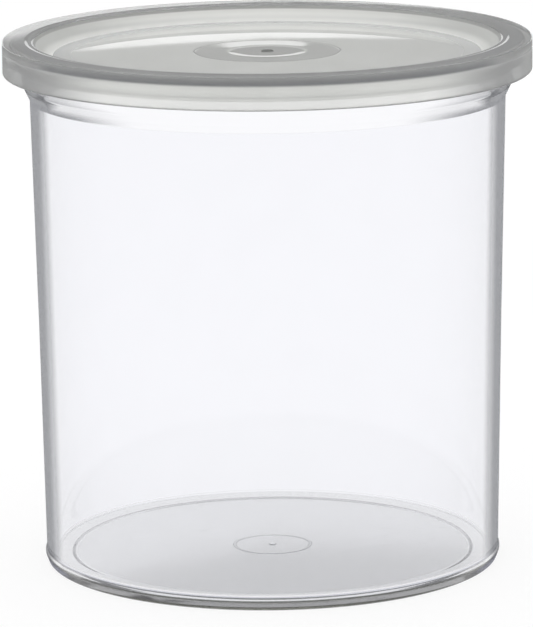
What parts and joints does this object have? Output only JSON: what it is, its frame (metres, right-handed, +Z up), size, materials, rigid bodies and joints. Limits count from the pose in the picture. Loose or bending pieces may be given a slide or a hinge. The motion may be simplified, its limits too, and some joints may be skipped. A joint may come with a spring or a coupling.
{
  "type": "condiment crock",
  "caption": "Round clear crock with a flared collar and a translucent press-on lid that lifts off, for keeping and serving condiments.",
  "frame": {"origin": "centre of the foot, on the plane that the crock stands on", "axes": "+Z up along the crock's axis; the crock is round, so X and Y are free and -Y is the pictured side"},
  "size_m": [0.1304, 0.1304, 0.1308],
  "materials": {
    "crock_clear": "clear, high gloss",
    "lid_cloudy": "translucent, satin"
  },
  "bodies": {
    "crock": {"crock_body": "crock_clear"},
    "lid": {"lid": "lid_cloudy"}
  },
  "joints": [
    {"name": "lid_lift", "type": "slide", "parent": "crock", "child": "lid", "axis": [0, 0, 1], "range_m": [0, 0.12]}
  ]
}
